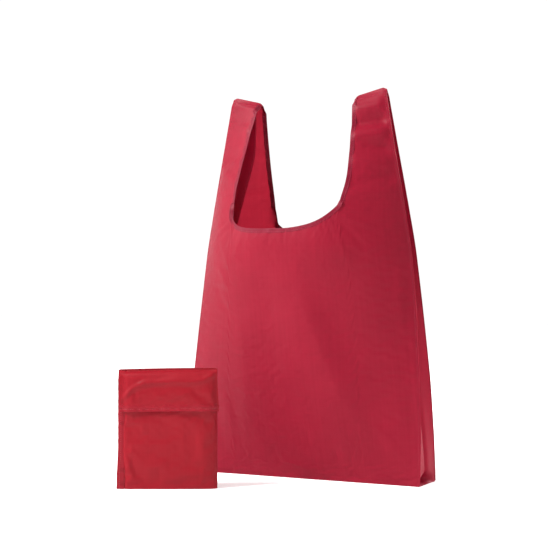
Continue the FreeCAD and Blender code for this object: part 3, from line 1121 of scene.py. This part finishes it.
POUCH_WIDTH = 134 * MM
SEAM_LEFT = 5.5 * MM  # the left side seam stands out flat, and the right one is turned back
SEAM_RIGHT = 0.9 * MM
SEAM_FORWARD = 5.0 * MM  # the left side seam lies this far in front of the pouch's middle plane
POUCH_BULGE = 8.4 * MM  # half the pouch's thickness at its middle
TOP_RISE = (2.3, 3.9, 4.3)  # mm that its top stands above the CAD's at the left, the middle and the right
POUCH_LEFT = -POUCH_WIDTH / 2 + SEAM_LEFT  # where its body ends and the side seams start
POUCH_RIGHT = POUCH_WIDTH / 2 - SEAM_RIGHT
POUCH_EDGE = 0.3 * MM  # half its thickness at its side seams
POUCH_COLUMNS = 26
POUCH_ROWS = 32
FLAP_OVERHANG = 3.4 * MM  # its lower right corner stands out beyond the body
FLAP_LIFT = 1.5 * MM  # clear of the front
FLAP_ROWS = 46
FLAP_COLUMNS = 72
FLAP_HEM_WIDTH = 8.5 * MM
FLAP_STITCH = 3.2 * MM  # the stitches' distance from the flap's edge
POUCH_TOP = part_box("pouch_back_panel")[1].z
POUCH_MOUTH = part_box("pouch_front_panel")[1].z
FLAP_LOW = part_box("pouch_flap_hem")[0].z + 2.2 * MM

# The same form as the bag's folds, in the pouch's own x and height.
POUCH_FOLDS = [
    (46, 96, 50, 10, 9, 12, 0.9),
    (30, 84, 34, 18, 12, 9, -0.7),
    (-62, 66, -46, 6, 5, 6, 1.1),
    (-52, 50, -36, 2, 5, 6, -0.9),
    (-30, 40, 26, 10, 12, 10, 0.5),
    (18, 26, 60, 16, 7, 7, 0.5),
    (-46, 92, -50, 60, 8, 9, -0.5),
    (-60, 8, -34, 14, 4, 5, 0.9),
]
FLAP_FOLDS = [
    (-26, 138, -6, 122, 3.5, 4, 0.6),
    (16, 138, 26, 124, 3.5, 4, 0.6),
    (36, 134, 44, 120, 4, 4, -0.5),
    (-44, 130, -52, 114, 4, 4, 0.6),
    (56, 136, 62, 118, 4, 4, 0.7),
    (-10, 116, 30, 119, 5, 5, -0.4),
]
FLAP_RIDGE_X = np.array([-70, -56, -46, -34, -15, 10, 34, 48, 58, 70]) * MM
FLAP_RIDGE_Z = np.array([116, 127, 137, 142.5, 145, 145.5, 145, 147, 152.5, 158]) * MM


def pouch_frame():
    """The pouch's own directions (along its width, and inwards from its front), and its middle."""
    axis = Vector(JOINTS["flap_open"]["axis"])
    width = -axis
    inward = Vector((0, 0, 1)).cross(width)
    low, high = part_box("pouch_bottom")
    return np.array(width), np.array(inward), np.array(((low.x + high.x) / 2, (low.y + high.y) / 2, 0))


def top_rise(x):
    """How far the pouch's top stands above the CAD's, across its width."""
    left, middle, right = TOP_RISE
    side = x / (POUCH_WIDTH / 2)
    return MM * (middle + (right - left) / 2 * side + ((left + right) / 2 - middle) * side**2)


def pouch_half(x, z):
    """Half the pouch's thickness at a place across and up its front."""
    across = np.clip((2 * x - POUCH_LEFT - POUCH_RIGHT) / (POUCH_RIGHT - POUCH_LEFT), -1, 1)
    upward = np.clip((z - 0.62 * POUCH_TOP) / (0.38 * POUCH_TOP), 0, 1)
    power = np.where(across < 0, 12.0, 4.5)
    round_side = np.sqrt(np.maximum(1 - np.abs(across) ** power, 0))
    round_top = np.sqrt(np.maximum(1 - upward**7, 0))
    low = 0.80 + 0.20 * ease(z / (40 * MM))
    return POUCH_EDGE + (POUCH_BULGE - POUCH_EDGE) * round_side * round_top * low


def pouch_lines():
    """The columns across the pouch's body and the rows up it, closer together at its edges."""
    even = np.linspace(-1, 1, POUCH_COLUMNS + 1)
    eased = 0.55 * even + 0.45 * np.sin(even * math.pi / 2)
    x = (POUCH_LEFT + POUCH_RIGHT) / 2 + eased * (POUCH_RIGHT - POUCH_LEFT) / 2
    rise = np.linspace(0, 1, POUCH_ROWS + 1)
    z = POUCH_TOP * (0.55 * rise + 0.45 * np.sin(rise * math.pi / 2))
    return x[None, :] + 0 * z[:, None], z[:, None] + top_rise(x)[None, :] * (z[:, None] / POUCH_TOP) ** 2


def pouch_grids():
    """The pouch's front and back up to its top fold, and its bottom, in its own directions."""
    x, z = pouch_lines()
    half = pouch_half(x, z)
    fade = np.sqrt(np.clip(half / POUCH_BULGE, 0, 1)) * ease(z / (14 * MM))
    front = -half - (fold_height(x, z, POUCH_FOLDS) + 0.5 * MM * ripple(x, z, 26 * MM, 4.4)) * fade
    back = half + 0.6 * MM * ripple(x, z, 30 * MM, 9.2) * fade
    t = np.linspace(1, -1, 5)[:, None]
    return {
        "pouch_front_panel": np.stack([x, front, z], axis=-1),
        "pouch_back_panel": np.stack([x, back, z], axis=-1)[:, ::-1],
        "pouch_bottom": np.stack([x[:1] + 0 * t, t * half[:1], 0 * x[:1] + 0 * t], axis=-1),
    }


POUCH_CLOTH = ANY_CLOTH | {
    "mass": 0.1,
    "tension_stiffness": 20.0,
    "compression_stiffness": 20.0,
    "shear_stiffness": 8.0,
    "bending_stiffness": 1.0,
    "shrink_min": -0.008,
    "use_pressure": True,
    "uniform_pressure_force": 0.25,
}
POUCH_FRAMES = 18
POUCH_LIMIT = 3 * MM


def settle_pouch(grids):
    """The pouch's grids after it is inflated a little, refined."""
    points, faces, tables = sew(grids)
    held = np.full(len(points), 0.15)
    for table in tables.values():
        held[table[0]] = 1.0
        held[table[:, [0, -1]].ravel()] = 0.9
    held[tables["pouch_bottom"].ravel()] = 1.0
    held[tables["pouch_back_panel"][-1]] = 0.9
    moved = simulate(points, faces, held, POUCH_FRAMES, 0.0, POUCH_CLOTH)
    points = capped(points, moved, POUCH_LIMIT)
    return {name: refine(points[table], 3) for name, table in tables.items()}


def flap_grid(front):
    """The flap: it starts at the pouch's top fold, and hangs clear of the refined front."""
    rise = np.sin(np.linspace(0, 1, FLAP_ROWS + 1) * math.pi / 2)[:, None]
    left = front[0, 0, 0] - 0.7 * SEAM_LEFT
    right = front[0, -1, 0] + FLAP_OVERHANG * (1 - rise)
    share = np.linspace(0, 1, FLAP_COLUMNS + 1)[None, :]
    x = left + share * (right - left)
    z = FLAP_LOW + (POUCH_TOP + top_rise(x) - FLAP_LOW) * rise
    inside = np.maximum(x[0], front[0, 0, 0] + 3 * MM)
    under = np.array([np.interp(inside, row[:, 0], row[:, 1]) for row in front])
    heights = np.array([np.interp(inside, row[:, 0], row[:, 2]) for row in front])
    y = np.stack([np.interp(z[:, k], heights[:, k], under[:, k]) for k in range(x.shape[1])], axis=1)
    beyond = np.clip((x - front[0, -1, 0]) / (6 * MM), 0, 1)
    below = 1 - rise + 0 * x
    lift = FLAP_LIFT * ease(below / 0.1) + 1.2 * MM * below
    side = ease((x - left) / (5 * MM)) * ease((right - x) / (4 * MM))
    ridge_z = np.interp(x, FLAP_RIDGE_X, FLAP_RIDGE_Z)
    ridge = 1.7 * MM * np.exp(-(((z - ridge_z) / (4 * MM)) ** 2))
    ridge *= 0.3 + 0.7 * ease((x - left) / (12 * MM))
    ridge -= 0.7 * MM * np.exp(-(((z - ridge_z + 9 * MM) / (6 * MM)) ** 2))
    folds = fold_height(x, z, FLAP_FOLDS) + ridge + 0.5 * MM * ripple(x, z, 22 * MM, 2.6)
    detail = folds * ease(below / 0.08)
    wavy = 0.35 * MM * np.sin(x / (21 * MM) + 0.5) * ease((below - 0.8) / 0.2)
    y = y - lift - detail * (0.35 + 0.65 * side) - 1.0 * MM * beyond
    hanging = np.stack([x, y, z + wavy], axis=-1)
    return np.concatenate([hanging[:-1], over_top(hanging[-1])])


def over_top(edge):
    """The flap's last rows, which go over the pouch's top fold and down behind it."""
    rows = []
    for y, z in ((-0.7, 0.3), (0.0, 0.75), (0.9, 0.2), (1.5, -1.6)):
        row = edge.copy()
        row[:, 1] = y * MM
        row[:, 2] += z * MM
        rows.append(row)
    return np.array(rows)


def place_pouch(grid, frame_of_pouch):
    width, inward, middle = frame_of_pouch
    up = np.array((0.0, 0.0, 1.0))
    return middle + grid[..., :1] * width + grid[..., 1:2] * inward + grid[..., 2:] * up


def plain_flat(grid):
    """Across and along a cloth that is nearly flat."""
    return np.stack([grid[..., 0], grid[..., 2]], axis=-1)


def make_pouch():
    """The pouch's cloths, its side seams, its hems and their stitches, and its flap."""
    axes = pouch_frame()
    local = settle_pouch(pouch_grids())
    flap = flap_grid(local["pouch_front_panel"])
    front = local["pouch_front_panel"]
    cut = int(np.searchsorted(front[:, front.shape[1] // 2, 2], POUCH_MOUTH)) + 1
    placed = {name: place_pouch(grid, axes) for name, grid in local.items()}
    normals = {name: shared_normals({name: grid})[name] for name, grid in placed.items()}
    made, cuts = {}, {}
    for name, grid in placed.items():
        flat = plain_flat(local[name])
        if name == "pouch_front_panel":
            grid, flat = grid[:cut], flat[:cut]
        cuts[name] = grid
        piece = cloth_piece(name, grid, normals[name][:len(grid)], flat, "pouch_cloth")
        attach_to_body(piece, "pouch")
        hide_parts(name)
        made[name] = piece
    flap_piece, flap_trims = make_flap(flap, axes)
    declare_sheet(flap)
    seams = make_pouch_seams(placed["pouch_front_panel"])
    hems = make_mouth_hem(placed["pouch_front_panel"][:cut], normals["pouch_front_panel"][:cut])
    declare_sheet(cuts["pouch_front_panel"])
    declare_sheet(cuts["pouch_back_panel"])
    declare_sheet(cuts["pouch_bottom"])


def flap_blend(piece):
    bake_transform(piece)


def flap_hem_section():
    """The flap's hem: crisp along its lower edge, with a groove under its stitches, and thinning upwards."""
    sewn_at, width = FLAP_STITCH / MM, FLAP_HEM_WIDTH / MM
    groove = [(sewn_at - 0.9, 1.05), (sewn_at, 0.6), (sewn_at + 0.9, 0.95)]
    face = [(-0.3, 1.0), *groove, (0.8 * width, 0.55), (width, 0.3)]
    back = [(width, -0.3), (0.8 * width, -0.4), (sewn_at, -0.5), (-0.3, -0.5)]
    return [(far * MM, high * MM) for far, high in face + back]


def make_flap(flap, axes):
    """The flap's cloth, and the hem along its lower edge with its row of stitches."""
    grid = place_pouch(flap, axes)
    normals = shared_normals({"flap": grid})["flap"]
    piece = cloth_piece("pouch_flap", grid, normals, plain_flat(flap), "pouch_flap_cloth_lit")
    flap_blend(piece)
    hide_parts("pouch_flap")
    inward = grid[1] - grid[0]
    hem = edging("pouch_flap_hem", "flap", grid[0], normals[0], inward, flap_hem_section(),
                 "pouch_binding", 0.8, stitch=10 * MM)
    row = stitching("pouch_flap", "flap", grid[0], normals[0], inward, FLAP_STITCH, 0.62 * MM)
    return piece, [hem, row]


def make_pouch_seams(front):
    """The sewn side seams: flat strips of both cloths that stand out from the body."""
    width, inward, _ = pouch_frame()
    made = []
    for hand, column, outward, reach in (("left", 0, -width, SEAM_LEFT), ("right", -1, width, SEAM_RIGHT)):
        path = front[:, column].copy()
        section = slab_section(-4.6 * MM, reach, 0.55 * MM)
        if hand == "left":
            path += outward * (1.9 * MM * ease((62 * MM - path[:, 2]) / (50 * MM)))[:, None]
            path -= inward * (SEAM_FORWARD * ease((POUCH_TOP - path[:, 2]) / (12 * MM)))[:, None]
        up, out = every(path, -inward), every(path, outward)
        seam = edging(f"pouch_{hand}_side", "pouch", path, up, out, section, "pouch_binding", 0.16, 9 * MM)
        made.append(seam)
        if hand == "left":
            for face, side in (("front", 1), ("back", -1)):
                row = stitching(f"pouch_left_{face}", "pouch", path, up * side, out,
                                1.6 * MM, 0.62 * MM, FINE_THREAD_RADIUS)
                made.append(row)
    return made


def make_mouth_hem(grid, normals):
    """The hem along the pouch's mouth, inside, under the flap."""
    path, up, into = grid[-1, 1:-1], normals[-1, 1:-1], (grid[-2] - grid[-1])[1:-1]
    section = slab_section(0.0, 7 * MM, 0.4 * MM)
    hem = edging("pouch_mouth_hem", "pouch", path - 0.7 * MM * up, up, into, section, "pouch_binding", 0.3)
    row = stitching("pouch_mouth", "pouch", path, up, into, 5.5 * MM, 0.3 * MM, FINE_THREAD_RADIUS)
    return [hem, row]


# ---- the stage


def look_along(azimuth, pitch):
    """The turn of a camera that looks along +Y, turned by azimuth and raised by pitch."""
    return Matrix.Rotation(math.radians(azimuth), 3, "Z") @ Matrix.Rotation(math.radians(90 + pitch), 3, "X")


CAMERA_AZIMUTH = 27.0
CAMERA_PITCH = 0.36
CAMERA_DISTANCE = 1.898
CAMERA_SIDEWAYS = -0.0497
CAMERA_HEIGHT = 0.271
CAMERA_LENS = 84.3


def make_camera():
    turn = look_along(CAMERA_AZIMUTH, 0)
    forward, right = turn @ Vector((0, 0, -1)), turn @ Vector((1, 0, 0))
    camera = bpy.data.objects.new("camera", bpy.data.cameras.new("camera"))
    camera.data.lens = CAMERA_LENS
    camera.data.clip_end = 50
    camera.location = -forward * CAMERA_DISTANCE + right * CAMERA_SIDEWAYS + Vector((0, 0, CAMERA_HEIGHT))
    camera.rotation_euler = look_along(CAMERA_AZIMUTH, CAMERA_PITCH).to_euler()
    bpy.context.scene.collection.objects.link(camera)
    bpy.context.scene.camera = camera


FLOOR_HALF = 9.0


def make_floor():
    """A wide pale floor."""
    points = [(x, y, 0.0) for y in (-FLOOR_HALF, FLOOR_HALF) for x in (-FLOOR_HALF, FLOOR_HALF)]
    mesh = new_mesh("floor", points, [(0, 1, 3, 2)])
    floor = bpy.data.objects.new("floor", mesh)
    bpy.context.scene.collection.objects.link(floor)
    mesh.materials.append(paper("floor_paper", (0.98, 0.98, 0.98)))


# Each lamp's place, what it points at, its size and its power.
LAMPS = {
    "key": ((-1.45, -1.95, 2.5), (0, 0, 0.25), 0.9, 200),
    "side": ((-2.1, -0.75, 1.0), (0, 0, 0.3), 0.8, 20),
    "back": ((1.0, 2.2, 1.5), (0, 0, 0.35), 1.2, 70),
}
SURROUND = 1.04


def make_lights():
    """Soft light from the left and above, a little from behind, and a white surround."""
    world = bpy.data.worlds.new("studio")
    world.use_nodes = True
    feed(world.node_tree, world.node_tree.nodes["Background"], {"Color": (1, 1, 1, 1), "Strength": SURROUND})
    bpy.context.scene.world = world
    for name, (place, target, size, power) in LAMPS.items():
        light = bpy.data.lights.new(name, "AREA")
        light.shape = "DISK"
        light.size = size
        light.energy = power
        lamp = bpy.data.objects.new(name, light)
        lamp.location = place
        lamp.rotation_euler = (Vector(target) - Vector(place)).to_track_quat("-Z", "Y").to_euler()
        bpy.context.scene.collection.objects.link(lamp)
    bpy.context.scene.view_settings.view_transform = "Standard"


make_camera()
make_floor()
make_lights()
make_bag()
make_pouch()
